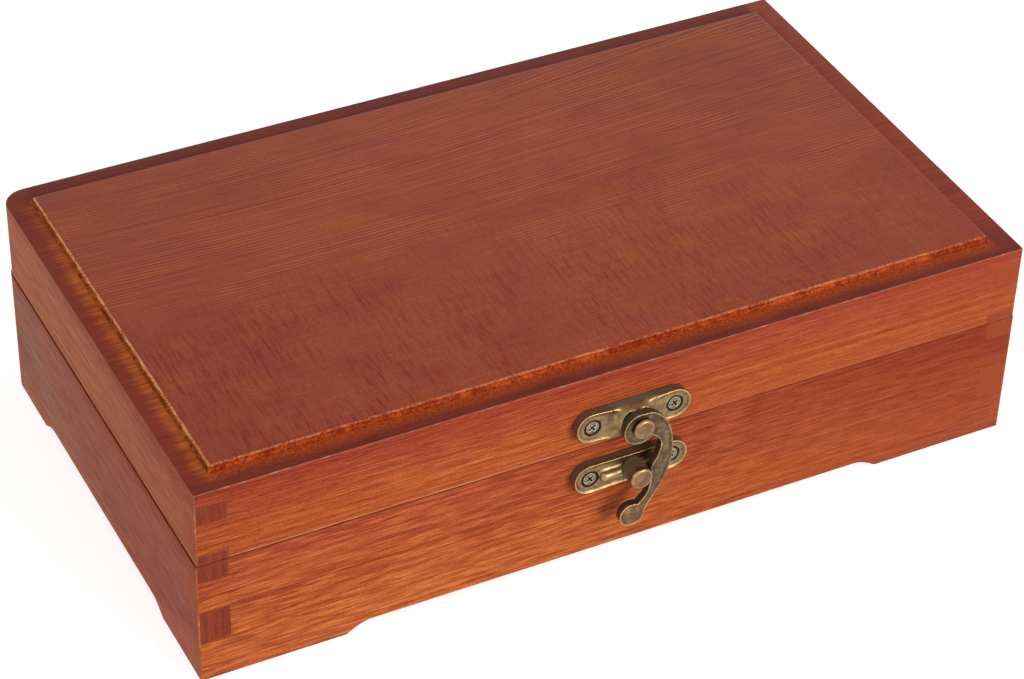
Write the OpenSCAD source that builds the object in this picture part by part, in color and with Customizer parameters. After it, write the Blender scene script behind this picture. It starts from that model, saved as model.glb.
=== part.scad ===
// Keepsake box: a shallow finger-jointed wooden box, sawn into a base and a
// hinged lid, and held shut by a swing-hook clasp on its front.
// +X runs along the front, +Y to the back and +Z up. The origin is on the
// surface that the box stands on, at the centre of the whole outline.

/* [Box] */
// Width of the base along the front
box_w = 250; // [180:1:320]
// Depth of the wooden box from front to back
box_d = 143.5; // [110:0.5:200]
// Height of the base, feet included
base_h = 39.8; // [34:0.2:60]
// Height of the four boards of the lid
lid_rail_h = 19.3; // [18:0.1:32]
// Thickness of the boards of the walls
board_t = 9; // [8:0.5:11]
// Gap left between base and lid when the box is shut
seam_gap = 0.4; // [0.3:0.1:0.6]
// Wood sanded off each end of the lid beside the base
lid_inset = 0.3; // [0:0.1:0.6]
// Radius of the rounded upright corner at the back left
round_corner_r = 7; // [3:0.5:7]

/* [Finger joints] */
// Height of the lowest finger of the front and back boards
first_finger_h = 13.3; // [10:0.1:18]
// Height of each finger above the lowest
finger_pitch = 10.5; // [8:0.5:14]
// Wood lost to the saw that parts lid from base
saw_kerf = 2; // [1:0.1:3]

/* [Feet] */
// Length of each foot along the front and the back
front_foot_l = 42; // [30:1:50]
// Length of each foot along the sides
side_foot_l = 27; // [20:1:34]
// Height of the arches between the feet
foot_h = 3; // [1.6:0.1:3.4]
// Length of the curve that ends each foot
foot_curve_l = 6; // [5:0.5:8]

/* [Lid board] */
// Thickness of the lid board at its milled border
border_t = 4.5; // [3.5:0.1:7]
// Height of the raised field above the border
field_rise = 1.7; // [1:0.1:3]
// Width of the milled border
border_w = 7.4; // [5:0.1:12]
// Radius of the cove between border and field
cove_r = 0.8; // [0.4:0.1:0.9]

/* [Bottom panel] */
// Thickness of the bottom panel
panel_t = 3; // [2.5:0.1:4]
// Height of the underside of the bottom panel
panel_z = 5; // [4.6:0.1:7]
// Depth of the groove that holds the panel
groove_d = 3; // [2:0.1:4]
// Clearance between the panel and its groove
panel_fit = 0.1; // [0.05:0.05:0.3]

/* [Clasp] */
// Distance between the two screws of a clasp plate
plate_screw_gap = 25; // [24:0.5:30]
// Distance of the clasp to the right of the middle of the box
clasp_x = 0.5; // [-40:0.5:40]
// Radius of the round ends of the clasp plates
plate_lobe_r = 4.7; // [4.4:0.1:5.2]
// Thickness of the clasp plates
plate_t = 3; // [2:0.1:3.5]
// Height of the upper plate's screws above the seam
upper_plate_z = 8.8; // [7.5:0.1:10.5]
// Depth of the lower plate's screws below the seam
lower_plate_z = 9.1; // [7.5:0.1:10]
// Radius of the boss in the middle of the upper plate
boss_r = 5.8; // [5.4:0.1:6.4]
// Height of that boss above its plate
boss_h = 1.5; // [1:0.1:2]
// Radius of the collar on the boss, which carries the hook
collar_r = 4; // [3:0.1:4.8]
// Height of that collar above the boss
collar_h = 0.8; // [0.5:0.1:1.5]
// Radius of the hook's eye
eye_r = 5; // [4.4:0.1:5.4]
// Thickness of the hook
hook_t = 2.5; // [1.5:0.1:3]
// Free play of the hook between the boss and the rivet head
hook_play = 0.2; // [0.1:0.05:0.3]
// Radius of the rivet that the hook turns on
rivet_r = 2; // [1.5:0.1:2.4]
// Radius of the rivet's head
rivet_head_r = 3.1; // [2.8:0.1:3.6]
// Height of the rivet's domed head
rivet_head_h = 1.1; // [0.8:0.1:1.6]
// Clearance of the hook's eye round the rivet
rivet_fit = 0.06; // [0.03:0.01:0.1]
// Radius of the catch post that the hook closes on
post_r = 3.3; // [3:0.1:3.6]
// Height of the catch post above its plate
post_h = 6.3; // [5.4:0.1:7]
// Clearance between the shut hook and the catch post
post_gap = 0.25; // [0.15:0.05:0.35]
// Radius of the ridges on the lower plate
ridge_r = 1.5; // [1:0.1:1.8]

/* [Clasp screws] */
// Radius of the heads of the clasp screws
clasp_head_r = 2.2; // [2:0.1:2.5]
// Radius of the shanks of the clasp screws
clasp_shank_r = 1.1; // [0.8:0.1:1.3]
// Length of the clasp screws under the plate
clasp_screw_l = 6; // [4:0.5:7]

/* [Hinges] */
// Distance from each end of the box to the middle of the hinge nearest to it
hinge_inset = 50; // [32:1:70]
// Length of each hinge
hinge_l = 25; // [20:1:32]
// Width of a leaf let into the wood
leaf_w = 7.5; // [6.6:0.1:7.5]
// Thickness of a leaf
leaf_t = 1; // [0.8:0.1:1.2]
// Outer radius of the barrel
barrel_r = 2; // [1.8:0.1:2.3]
// Radius of the hinge pin
hinge_pin_r = 1; // [0.8:0.05:1.1]
// Clearance of the turning knuckles round the pin
pin_fit = 0.05; // [0.02:0.01:0.09]
// Gap between neighbouring knuckles
knuckle_gap = 0.2; // [0.1:0.05:0.3]
// Number of knuckles in a barrel
knuckles = 5; // [3:2:7]
// Angle at which the stops of the hinges meet
stop_angle = 105.5; // [95.5:1:115.5]
// Reach of the stops from the pin's centre
stop_reach = 4; // [3.6:0.1:4.4]
// Distance between the two screws of a leaf
leaf_screw_gap = 15; // [12:0.5:16]
// Radius of the heads of the hinge screws
hinge_head_r = 1.7; // [1.4:0.1:1.9]
// Radius of the shanks of the hinge screws
hinge_shank_r = 0.9; // [0.7:0.05:1]
// Length of the hinge screws
hinge_screw_l = 9; // [7:0.5:10]

/* [Hidden] */

// how far a cutter runs past the face that it cuts
over = 1;
// facets of a round face, and of the small curves of an outline
round_fn = 64;
curve_steps = 8;

// heights of the wooden box
seam_z = base_h + seam_gap / 2;
lid_z = base_h + seam_gap;
rail_top = lid_z + lid_rail_h;
border_top = rail_top + border_t;
// the lid is sawn off, so its fingers lie lower than they were cut
lid_drop = saw_kerf - seam_gap;
finger_count = ceil((base_h + saw_kerf + lid_rail_h) / finger_pitch);

// depths from front to back: the clasp stands out in front, the hinges behind
hook_y = plate_t + boss_h + collar_h + hook_play / 2;
clasp_out = max(plate_t + post_h, hook_y + hook_t + hook_play / 2 + rivet_head_h);
axis_out = barrel_r + 0.2;
stop_half = stop_angle / 2;
hinge_out = max(axis_out + barrel_r, axis_out + stop_reach * cos(stop_half));
front_y = -(box_d + hinge_out + clasp_out) / 2 + clasp_out;
back_y = front_y + box_d;

// lid and inner sizes
lid_w = box_w - 2 * lid_inset;
inner_w = box_w - 2 * board_t;
inner_d = box_d - 2 * board_t;

// heights of the clasp
upper_z = seam_z + upper_plate_z;
lower_z = seam_z - lower_plate_z;
rivet_drop = 0.4;
// how far the upper plate's top edge bows in and its bottom edge out, and how
// far the lower plate's bottom edge bows in
upper_bow = 1.1;
upper_belly = 1.2;
lower_bow = 0.5;
pivot_z = upper_z - rivet_drop;
post_rise = 0.5;
post_z = lower_z + post_rise;
hook_drop = pivot_z - post_z;
// the hook's pocket clears the post by the same gap all round, this far above
// and below the middle of the post
pocket_r = post_r + post_gap;
pocket_turn = 24;
// the eye stands a little off its rivet
eye_shift = 0.6;
// the round pad at the hook's end
pad_r = 3.7;
pad_x = -1.8;
pad_drop = 13.1;
// points on the edges of the hook's arm, from the middle of the post: down its
// outer edge, from the pad up to the post, and from the post up to the eye
arm_outer = [[-4, hook_drop + 3.6], [-0.9, hook_drop + 4.5], [3.6, hook_drop + 4.1],
    [7.5, hook_drop], [9.3, 11.5], [9.6, 5], [8.4, -1], [5.6, -6.5], [3.2, -10.3],
    [1.4, -13.9], [-0.6, -16]];
arm_lower = [[-1.8, -13.1], [-0.3, -10.2], [2.4, -7], [3.3, -3.4]];
arm_upper = [[3.7, 3], [5.1, 5.4], [5.9, 8.4], [5.7, 10.6], [4, 12.8], [1, 14.6], [0, 16]];

// hinge pieces
hinge_gap = box_w - 2 * hinge_inset;
axis_y = back_y + axis_out;
barrel_pitch = hinge_l / knuckles;
mortise_fit = 0.05;
pilot_fit = 0.05;
stop_t = 1.1;
stop_in = barrel_r + 0.12;
leaf_screw_y = back_y - leaf_w / 2;

// rim of the studs' domed ends, and the size of the shank under the post
dome_h = 0.7;
post_shank_r = post_r - 1;
// wood of plate left between a screw's head and a ridge
ridge_gap = 0.6;
// how far the clasp screws' heads are sunk, and their crosses
head_sunk = 0.3;
cross_w = 0.7;
cross_l = 2.8;
cross_h = 0.9;
cross_turn = 35;
// slots of the hinge screws, and the domes on the hinge pins
slot_w = 0.5;
slot_h = 0.5;
pin_dome_h = 0.6;

// colours
STAIN = [0.62, 0.27, 0.16];
STAIN_TOP = [0.52, 0.24, 0.17];
PLY = [0.66, 0.42, 0.26];
BRASS = [0.45, 0.37, 0.22];
RIVET = [0.60, 0.48, 0.28];
STEEL = [0.55, 0.52, 0.42];

// ---------------------------------------------------------------- wood

// a point of the curve at a foot's end: two equal arcs, one after the other,
// take it from the floor at x = 0 to the arch at x = foot_curve_l
function foot_arc_r() = (pow(foot_curve_l / 2, 2) + pow(foot_h / 2, 2)) / foot_h;
function foot_arc_a() = asin(foot_curve_l / 2 / foot_arc_r());
function foot_curve() = concat(
    [for (i = [0 : curve_steps])
        let (a = foot_arc_a() * i / curve_steps)
        [foot_arc_r() * sin(a), foot_arc_r() * (1 - cos(a))]],
    [for (i = [1 : curve_steps])
        let (a = foot_arc_a() * (1 - i / curve_steps))
        [foot_curve_l - foot_arc_r() * sin(a),
            foot_h - foot_arc_r() * (1 - cos(a))]]);

// outline of the arch under a wall of the given length
module arch_outline(wall_l, foot_l) {
    half = wall_l / 2 - foot_l;
    curve = foot_curve();
    left = [for (p = curve) [p[0] - half, p[1]]];
    right = [for (i = [len(curve) - 1 : -1 : 0]) [half - curve[i][0], curve[i][1]]];
    polygon(concat([[-half, -over]], left, right, [[half, -over]]));
}

// the arches of all four walls
module arches() {
    translate([0, back_y + over, 0])
        rotate([90, 0, 0])
            linear_extrude(box_d + 2 * over)
                arch_outline(box_w, front_foot_l);
    translate([-box_w / 2 - over, (front_y + back_y) / 2, 0])
        rotate([90, 0, 90])
            linear_extrude(box_w + 2 * over)
                arch_outline(box_d, side_foot_l);
}

// height at which a finger starts: the lowest starts at the floor
function finger_z(i) = i == 0 ? -over : first_finger_h + (i - 1) * finger_pitch;

// the even fingers belong to the front and back boards, the odd ones to the
// side boards; this is the room at all four corners for one of the two sets
module finger_room(w, first) {
    for (side = [-1, 1], y = [front_y - over, back_y - board_t], i = [first : 2 : finger_count])
        translate([side < 0 ? -w / 2 - over : w / 2 - board_t, y, finger_z(i)])
            cube([board_t + over, board_t + over, finger_z(i + 1) - finger_z(i)]);
}

// one long board, standing between two heights of the box before it is sawn
module long_board(w, y, z0, z1) {
    difference() {
        translate([-w / 2, y, z0])
            cube([w, board_t, z1 - z0]);
        finger_room(w, 1);
    }
}

// one side board, standing between the same two heights
module side_board(w, side, z0, z1) {
    difference() {
        translate([side < 0 ? -w / 2 : w / 2 - board_t, front_y, z0])
            cube([board_t, box_d, z1 - z0]);
        finger_room(w, 0);
    }
}

// what rounding takes off the upright corner at the back left
module corner_waste(w) {
    translate([-w / 2, back_y, -over])
        difference() {
            translate([-over, -round_corner_r, 0])
                cube([round_corner_r + over, round_corner_r + over, border_top + field_rise + 2 * over]);
            translate([round_corner_r, -round_corner_r, -over])
                cylinder(r = round_corner_r, h = border_top + field_rise + 4 * over, $fn = round_fn);
        }
}

// the bottom panel grown by its clearance, which is the groove
module panel_groove() {
    grown_w = inner_w + 2 * groove_d;
    grown_d = inner_d + 2 * groove_d;
    translate([-grown_w / 2, front_y + board_t - groove_d, panel_z])
        cube([grown_w, grown_d, panel_t + panel_fit]);
}

// holes in a board for the shanks of one plate's clasp screws
module clasp_pilots(z) {
    for (side = [-1, 1])
        translate([clasp_x + side * plate_screw_gap / 2, front_y - over, z])
            rotate([-90, 0, 0])
                cylinder(r = clasp_shank_r + pilot_fit, h = clasp_screw_l + over + pilot_fit, $fn = round_fn);
}

// pockets for both hinges' leaves and screws; way is -1 down into the base
// and 1 up into the lid
module hinge_room(way) {
    face = seam_z + way * seam_gap / 2;
    depth = leaf_t + mortise_fit;
    for (side = [-1, 1])
        translate([side * hinge_gap / 2, 0, 0]) {
            translate([-hinge_l / 2 - mortise_fit, back_y - leaf_w - mortise_fit, face])
                mirror([0, 0, way > 0 ? 0 : 1])
                    translate([0, 0, -over])
                        cube([hinge_l + 2 * mortise_fit, leaf_w + mortise_fit + over, depth + over]);
            for (end = [-1, 1])
                translate([end * leaf_screw_gap / 2, leaf_screw_y, face])
                    mirror([0, 0, way > 0 ? 0 : 1])
                        cylinder(r = hinge_shank_r + pilot_fit, h = hinge_screw_l + pilot_fit,
                            $fn = round_fn);
        }
}

module base_front_board() {
    color(STAIN)
        difference() {
            long_board(box_w, front_y, 0, base_h);
            arches();
            panel_groove();
            clasp_pilots(lower_z);
        }
}

module base_back_board() {
    color(STAIN)
        difference() {
            long_board(box_w, back_y - board_t, 0, base_h);
            arches();
            panel_groove();
            hinge_room(-1);
            corner_waste(box_w);
        }
}

module base_left_board() {
    color(STAIN)
        difference() {
            side_board(box_w, -1, 0, base_h);
            arches();
            panel_groove();
            corner_waste(box_w);
        }
}

module base_right_board() {
    color(STAIN)
        difference() {
            side_board(box_w, 1, 0, base_h);
            arches();
            panel_groove();
        }
}

module base_bottom_panel() {
    panel_w = inner_w + 2 * (groove_d - panel_fit);
    panel_d = inner_d + 2 * (groove_d - panel_fit);
    color(PLY)
        translate([-panel_w / 2, front_y + board_t - groove_d + panel_fit, panel_z])
            cube([panel_w, panel_d, panel_t]);
}

// moves what was sawn off down onto the base
module sawn_off() {
    translate([0, 0, -lid_drop])
        children();
}

lid_cut_z = base_h + saw_kerf;

module lid_front_board() {
    color(STAIN)
        difference() {
            sawn_off()
                long_board(lid_w, front_y, lid_cut_z, lid_cut_z + lid_rail_h);
            clasp_pilots(upper_z);
        }
}

module lid_back_board() {
    color(STAIN)
        difference() {
            sawn_off()
                long_board(lid_w, back_y - board_t, lid_cut_z, lid_cut_z + lid_rail_h);
            hinge_room(1);
            corner_waste(lid_w);
        }
}

module lid_left_board() {
    color(STAIN)
        difference() {
            sawn_off()
                side_board(lid_w, -1, lid_cut_z, lid_cut_z + lid_rail_h);
            corner_waste(lid_w);
        }
}

module lid_right_board() {
    color(STAIN)
        sawn_off()
            side_board(lid_w, 1, lid_cut_z, lid_cut_z + lid_rail_h);
}

// section across the lid's top board, standing on its underside: a border, a
// small cove at the foot of the raised field, and the field
module top_section(w) {
    foot = w / 2 - border_w;
    cove = [for (i = [0 : curve_steps])
        let (a = 90 * i / curve_steps)
        [foot + cove_r * (1 - sin(a)), border_t + cove_r * (1 - cos(a))]];
    right = concat([[w / 2, 0], [w / 2, border_t]], cove, [[foot, border_t + field_rise]]);
    left = [for (i = [len(right) - 1 : -1 : 0]) [-right[i][0], right[i][1]]];
    polygon(concat(right, left));
}

// the solid board that closes the lid, with its border milled down all round
module lid_top_board() {
    color(STAIN_TOP)
        difference() {
            intersection() {
                translate([0, back_y, rail_top])
                    rotate([90, 0, 0])
                        linear_extrude(box_d)
                            top_section(lid_w);
                translate([-lid_w / 2, (front_y + back_y) / 2, rail_top])
                    rotate([90, 0, 90])
                        linear_extrude(lid_w)
                            top_section(box_d);
            }
            corner_waste(lid_w);
        }
}

// -------------------------------------------------------------- hinges

// one knuckle of the barrel, and where along the hinge it starts
function knuckle_x(i) = -hinge_l / 2 + i * barrel_pitch + knuckle_gap / 2;
module knuckle(i) {
    translate([knuckle_x(i), 0, 0])
        rotate([0, 90, 0])
            cylinder(r = barrel_r, h = barrel_pitch - knuckle_gap, $fn = round_fn);
}

// the stop of a leaf: a rib behind the barrel, along the whole hinge, that
// its own knuckles carry
module stop_rib(way, first) {
    rotate([way * stop_half, 0, 0]) {
        translate([-hinge_l / 2, stop_in, way > 0 ? 0 : -stop_t])
            cube([hinge_l, stop_reach - stop_in, stop_t]);
        for (i = [first : 2 : knuckles - 1])
            translate([knuckle_x(i), 0, way > 0 ? 0 : -stop_t])
                cube([barrel_pitch - knuckle_gap, stop_in + over / 4, stop_t]);
    }
}

// a leaf lying at the seam, with its knuckles, its stop and its screw seats
module hinge_leaf(side, way, first, bore_r) {
    leaf_z = way * (seam_gap / 2 + (way < 0 ? leaf_t : 0));
    color(BRASS)
        translate([side * hinge_gap / 2, axis_y, seam_z])
            difference() {
                union() {
                    translate([-hinge_l / 2, -axis_out - leaf_w, leaf_z])
                        cube([hinge_l, leaf_w, leaf_t]);
                    for (i = [first : 2 : knuckles - 1]) {
                        knuckle(i);
                        translate([knuckle_x(i), -axis_out - over / 2, leaf_z])
                            cube([barrel_pitch - knuckle_gap, axis_out + over / 2, leaf_t]);
                    }
                    stop_rib(way, first);
                }
                rotate([0, 90, 0])
                    cylinder(r = bore_r, h = hinge_l + 2 * over, center = true, $fn = round_fn);
                for (end = [-1, 1])
                    translate([end * leaf_screw_gap / 2, leaf_screw_y - axis_y, 0])
                        hinge_screw_shape(way, pilot_fit);
            }
}

// a countersunk screw that enters the wood from the seam, grown by a clearance
module hinge_screw_shape(way, fit) {
    head_h = leaf_t;
    mirror([0, 0, way > 0 ? 0 : 1])
        translate([0, 0, seam_gap / 2]) {
            cylinder(r1 = hinge_head_r + fit, r2 = hinge_shank_r + fit, h = head_h, $fn = round_fn);
            cylinder(r = hinge_shank_r + fit, h = hinge_screw_l, $fn = round_fn);
        }
}

module hinge_screws(way) {
    color(BRASS)
        for (side = [-1, 1], end = [-1, 1])
            translate([side * hinge_gap / 2 + end * leaf_screw_gap / 2, leaf_screw_y, seam_z])
                difference() {
                    hinge_screw_shape(way, 0);
                    mirror([0, 0, way > 0 ? 0 : 1])
                        translate([-hinge_head_r, -slot_w / 2, seam_gap / 2 - over])
                            cube([2 * hinge_head_r, slot_w, slot_h + over]);
                }
}

// the pin is fast in the knuckles of the base leaf and shows a low dome at
// each end
module hinge_pin(side) {
    color(BRASS)
        translate([side * hinge_gap / 2, axis_y, seam_z])
            rotate([0, 90, 0]) {
                cylinder(r = hinge_pin_r, h = hinge_l, center = true, $fn = round_fn);
                for (end = [0, 180])
                    rotate([end, 0, 0])
                        translate([0, 0, hinge_l / 2])
                            rotate_extrude($fn = round_fn)
                                pin_dome(pin_dome_h);
            }
}

// half outline of the pin's end: an arc that falls from the axis to the rim
module pin_dome(h) {
    rim_r = barrel_r * 0.8;
    arc_r = (rim_r * rim_r + h * h) / (2 * h);
    intersection() {
        square([rim_r, h]);
        translate([0, h - arc_r])
            circle(r = arc_r, $fn = 2 * round_fn);
    }
}

// --------------------------------------------------------------- clasp

// stands what is drawn flat, with y up, against the front of the box: its
// thickness runs out towards the viewer from the given distance
module on_front(z, out) {
    translate([clasp_x, front_y - out, z])
        rotate([90, 0, 0])
            children();
}

// how far a plate's edge bows in at a place between its screws: not at all
// beside them, and most in the middle
function plate_bow(x) = (1 + cos(360 * x / plate_screw_gap)) / 2;

// outline of a plate: two round ends, joined by edges that bow in at the
// middle by the given amounts, or out where those are negative
module plate_outline(top_bow, bottom_bow) {
    half = plate_screw_gap / 2;
    steps = 2 * curve_steps;
    xs = [for (i = [0 : steps]) -half + plate_screw_gap * i / steps];
    for (side = [-1, 1])
        translate([side * half, 0])
            circle(r = plate_lobe_r, $fn = round_fn);
    polygon(concat(
        [for (x = xs) [x, bottom_bow * plate_bow(x) - plate_lobe_r]],
        [for (i = [steps : -1 : 0]) [xs[i], plate_lobe_r - top_bow * plate_bow(xs[i])]]));
}

// seats for a plate's two countersunk screws
module screw_seats() {
    for (side = [-1, 1])
        translate([side * plate_screw_gap / 2, 0, plate_t]) {
            clasp_screw_shape(pilot_fit);
            translate([0, 0, -head_sunk])
                cylinder(r = clasp_head_r + pilot_fit, h = head_sunk + over, $fn = round_fn);
        }
}

// a countersunk clasp screw, grown by a clearance, with its head's top sunk
// below the plate's face at z = 0
module clasp_screw_shape(fit) {
    cone_h = clasp_head_r - clasp_shank_r;
    shank_l = plate_t + clasp_screw_l;
    translate([0, 0, -head_sunk - cone_h])
        cylinder(r1 = clasp_shank_r + fit, r2 = clasp_head_r + fit, h = cone_h, $fn = round_fn);
    translate([0, 0, -shank_l])
        cylinder(r = clasp_shank_r + fit, h = shank_l - head_sunk - cone_h / 2, $fn = round_fn);
}

module clasp_upper_plate() {
    color(BRASS)
        on_front(upper_z, 0)
            difference() {
                union() {
                    linear_extrude(plate_t)
                        plate_outline(upper_bow, -upper_belly);
                    translate([0, -rivet_drop, 0]) {
                        cylinder(r = boss_r, h = plate_t + boss_h, $fn = round_fn);
                        cylinder(r = collar_r, h = plate_t + boss_h + collar_h, $fn = round_fn);
                    }
                }
                screw_seats();
                translate([0, -rivet_drop, -over])
                    cylinder(r = rivet_r, h = hook_y + 2 * over, $fn = round_fn);
            }
}

module clasp_lower_plate() {
    ridge_l = plate_screw_gap / 2 - clasp_head_r - ridge_r - ridge_gap;
    color(BRASS)
        on_front(lower_z, 0)
            difference() {
                union() {
                    linear_extrude(plate_t)
                        plate_outline(0, lower_bow);
                    for (turn = [0, 180])
                        translate([0, 0, plate_t])
                            rotate([0, 0, turn])
                                ridge(ridge_l);
                }
                screw_seats();
                translate([0, post_rise, -over])
                    cylinder(r = post_shank_r, h = plate_t + 2 * over, $fn = round_fn);
                translate([0, post_rise, plate_t])
                    cylinder(r = post_r, h = ridge_r + over, $fn = round_fn);
            }
}

// a half-round ridge that starts at the post and ends in a round nose
module ridge(l) {
    intersection() {
        union() {
            rotate([0, 90, 0])
                cylinder(r = ridge_r, h = l, $fn = round_fn);
            translate([l, 0, 0])
                sphere(r = ridge_r, $fn = round_fn);
        }
        translate([0, -ridge_r, -over / 2])
            cube([l + ridge_r, 2 * ridge_r, ridge_r + over / 2]);
    }
}

// a turned stud: its shank is riveted in the plate and its end is domed
module clasp_catch_post() {
    color(RIVET)
        on_front(post_z, 0) {
            cylinder(r = post_shank_r, h = plate_t, $fn = round_fn);
            translate([0, 0, plate_t])
                domed_stud(post_r, post_h);
        }
}

// a stud with a rounded rim and a flat end
module domed_stud(r, h) {
    rotate_extrude($fn = round_fn) {
        square([r, h - dome_h]);
        square([r - dome_h, h]);
        translate([r - dome_h, h - dome_h])
            intersection() {
                circle(r = dome_h, $fn = round_fn);
                square(dome_h);
            }
    }
}

module clasp_rivet() {
    shank_h = hook_y + hook_t + hook_play / 2;
    color(RIVET)
        on_front(pivot_z, 0) {
            cylinder(r = rivet_r, h = shank_h, $fn = round_fn);
            translate([0, 0, shank_h])
                domed_stud(rivet_head_r, rivet_head_h);
        }
}

// a smooth curve through the given points, with end points left as they are
function spline_point(a, b, c, d, t) =
    0.5 * (2 * b + (c - a) * t + (2 * a - 5 * b + 4 * c - d) * t * t
        + (3 * b - a - 3 * c + d) * t * t * t);
function smooth(pts, steps) = [
    for (i = [1 : len(pts) - 3], s = [0 : steps - 1])
        spline_point(pts[i - 1], pts[i], pts[i + 1], pts[i + 2], s / steps)];

// outline of the hook's arm about the middle of the post, which it bends round
module arm_outline() {
    pocket = [for (i = [0 : curve_steps])
        let (a = pocket_turn * (2 * i / curve_steps - 1))
        pocket_r * [cos(a), sin(a)]];
    outer = smooth(arm_outer, 5);
    lower = smooth(concat(arm_lower, [pocket[0], pocket[1]]), 4);
    middle = [for (i = [0 : curve_steps - 1]) pocket[i]];
    upper = smooth(concat([pocket[curve_steps - 1], pocket[curve_steps]], arm_upper), 5);
    polygon(concat(outer, [[pad_x, -pad_drop]], lower, middle, upper));
}

// the hook hangs from its rivet: the eye, the arm, and the round pad that a
// thumb pushes
module clasp_hook() {
    color(BRASS)
        on_front(pivot_z, hook_y)
            difference() {
                union() {
                    translate([-eye_shift, -eye_shift / 2, 0])
                        cylinder(r = eye_r, h = hook_t, $fn = round_fn);
                    translate([0, -hook_drop, 0])
                        linear_extrude(hook_t)
                            arm_outline();
                    translate([pad_x, -hook_drop - pad_drop, 0])
                        cylinder(r = pad_r, h = hook_t, $fn = round_fn);
                }
                translate([0, 0, -over])
                    cylinder(r = rivet_r + rivet_fit, h = hook_t + 2 * over, $fn = round_fn);
            }
}

module clasp_screws(z) {
    color(STEEL)
        on_front(z, 0)
            for (side = [-1, 1])
                translate([side * plate_screw_gap / 2, 0, plate_t])
                    difference() {
                        clasp_screw_shape(0);
                        for (turn = [cross_turn, cross_turn + 90])
                            rotate([0, 0, turn])
                                translate([-cross_l / 2, -cross_w / 2, -cross_h - head_sunk])
                                    cube([cross_l, cross_w, cross_h + over]);
                    }
}

base_front_board();
base_back_board();
base_left_board();
base_right_board();
base_bottom_panel();
lid_front_board();
lid_back_board();
lid_left_board();
lid_right_board();
lid_top_board();
hinge_leaf(-1, -1, 0, hinge_pin_r);  // hinge_left_base_leaf
hinge_leaf(-1, 1, 1, hinge_pin_r + pin_fit);  // hinge_left_lid_leaf
hinge_pin(-1);  // hinge_left_pin
hinge_leaf(1, -1, 0, hinge_pin_r);  // hinge_right_base_leaf
hinge_leaf(1, 1, 1, hinge_pin_r + pin_fit);  // hinge_right_lid_leaf
hinge_pin(1);  // hinge_right_pin
hinge_screws(-1);  // hinge_base_screws
hinge_screws(1);  // hinge_lid_screws
clasp_upper_plate();
clasp_rivet();
clasp_hook();
clasp_lower_plate();
clasp_catch_post();
clasp_screws(upper_z);  // clasp_upper_screws
clasp_screws(lower_z);  // clasp_lower_screws
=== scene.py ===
import math

import bpy
from mathutils import Matrix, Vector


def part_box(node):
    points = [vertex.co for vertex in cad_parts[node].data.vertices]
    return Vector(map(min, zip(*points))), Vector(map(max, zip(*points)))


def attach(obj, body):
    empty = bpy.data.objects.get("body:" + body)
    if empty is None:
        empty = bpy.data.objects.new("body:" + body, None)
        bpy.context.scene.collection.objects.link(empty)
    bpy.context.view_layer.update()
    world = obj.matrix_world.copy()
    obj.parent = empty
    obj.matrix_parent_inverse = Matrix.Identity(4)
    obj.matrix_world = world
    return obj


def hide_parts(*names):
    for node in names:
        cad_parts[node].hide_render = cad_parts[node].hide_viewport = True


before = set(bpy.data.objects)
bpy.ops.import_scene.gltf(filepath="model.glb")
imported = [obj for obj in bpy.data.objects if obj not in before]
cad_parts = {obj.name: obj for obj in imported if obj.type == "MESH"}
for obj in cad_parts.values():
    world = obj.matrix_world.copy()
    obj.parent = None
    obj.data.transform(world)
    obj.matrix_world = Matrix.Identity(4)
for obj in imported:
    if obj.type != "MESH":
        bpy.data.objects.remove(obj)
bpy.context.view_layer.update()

# ------------------------------------------------------------ camera and studio
# The box stands on a white sweep, seen from its front left and from above. A
# broad lamp low in front of it, to the right, makes the front its brightest
# side, and a weaker one at its left leaves the other sides at half that light.
camera_turn = math.radians(-27.874)
camera_height = math.radians(39.104)
camera_roll = math.radians(1.808)
bpy.ops.object.camera_add(location=(-0.33644, -0.63906, 0.58832))
camera = bpy.context.object
camera.name = "camera"
camera.rotation_euler = (
    Matrix.Rotation(camera_turn, 3, "Z")
    @ Matrix.Rotation(math.pi / 2 - camera_height, 3, "X")
    @ Matrix.Rotation(camera_roll, 3, "Z")
).to_euler()
camera.data.sensor_width = 36
camera.data.lens = 112.0
camera.data.shift_y = 0.059
bpy.context.scene.camera = camera
bpy.context.scene.view_settings.view_transform = "Standard"


lamp_distance, lamp_size, box_middle = 1.6, 0.8, 0.03


def lamp(name, turn, height, watts, colour):
    """A square softbox that faces the box, placed by the same angles as the camera."""
    turn, height = math.radians(turn), math.radians(height)
    bpy.ops.object.light_add(type="AREA")
    light = bpy.context.object
    light.name = name
    light.location = (
        lamp_distance * math.sin(turn) * math.cos(height),
        -lamp_distance * math.cos(turn) * math.cos(height),
        lamp_distance * math.sin(height) + box_middle,
    )
    light.rotation_euler = (math.pi / 2 - height, 0, turn)
    light.data.shape = "SQUARE"
    light.data.size = lamp_size
    light.data.energy = watts
    light.data.color = colour


lamp("key_softbox", turn=22, height=20, watts=15.0, colour=(1.0, 0.97, 0.93))
lamp("side_softbox", turn=-78, height=30, watts=3.6, colour=(1.0, 1.0, 1.0))


def add_node(tree, kind, inputs=None, **settings):
    """One node: settings are its own properties, and inputs are values or links."""
    node = tree.nodes.new(kind)
    for name, value in settings.items():
        setattr(node, name, value)
    for name, value in (inputs or {}).items():
        if isinstance(value, bpy.types.NodeSocket):
            tree.links.new(value, node.inputs[name])
        else:
            node.inputs[name].default_value = value
    return node


def maths(tree, operation, *values):
    """The outcome of one Math node on numbers or sockets."""
    return add_node(tree, "ShaderNodeMath", dict(enumerate(values)), operation=operation).outputs[0]


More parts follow.
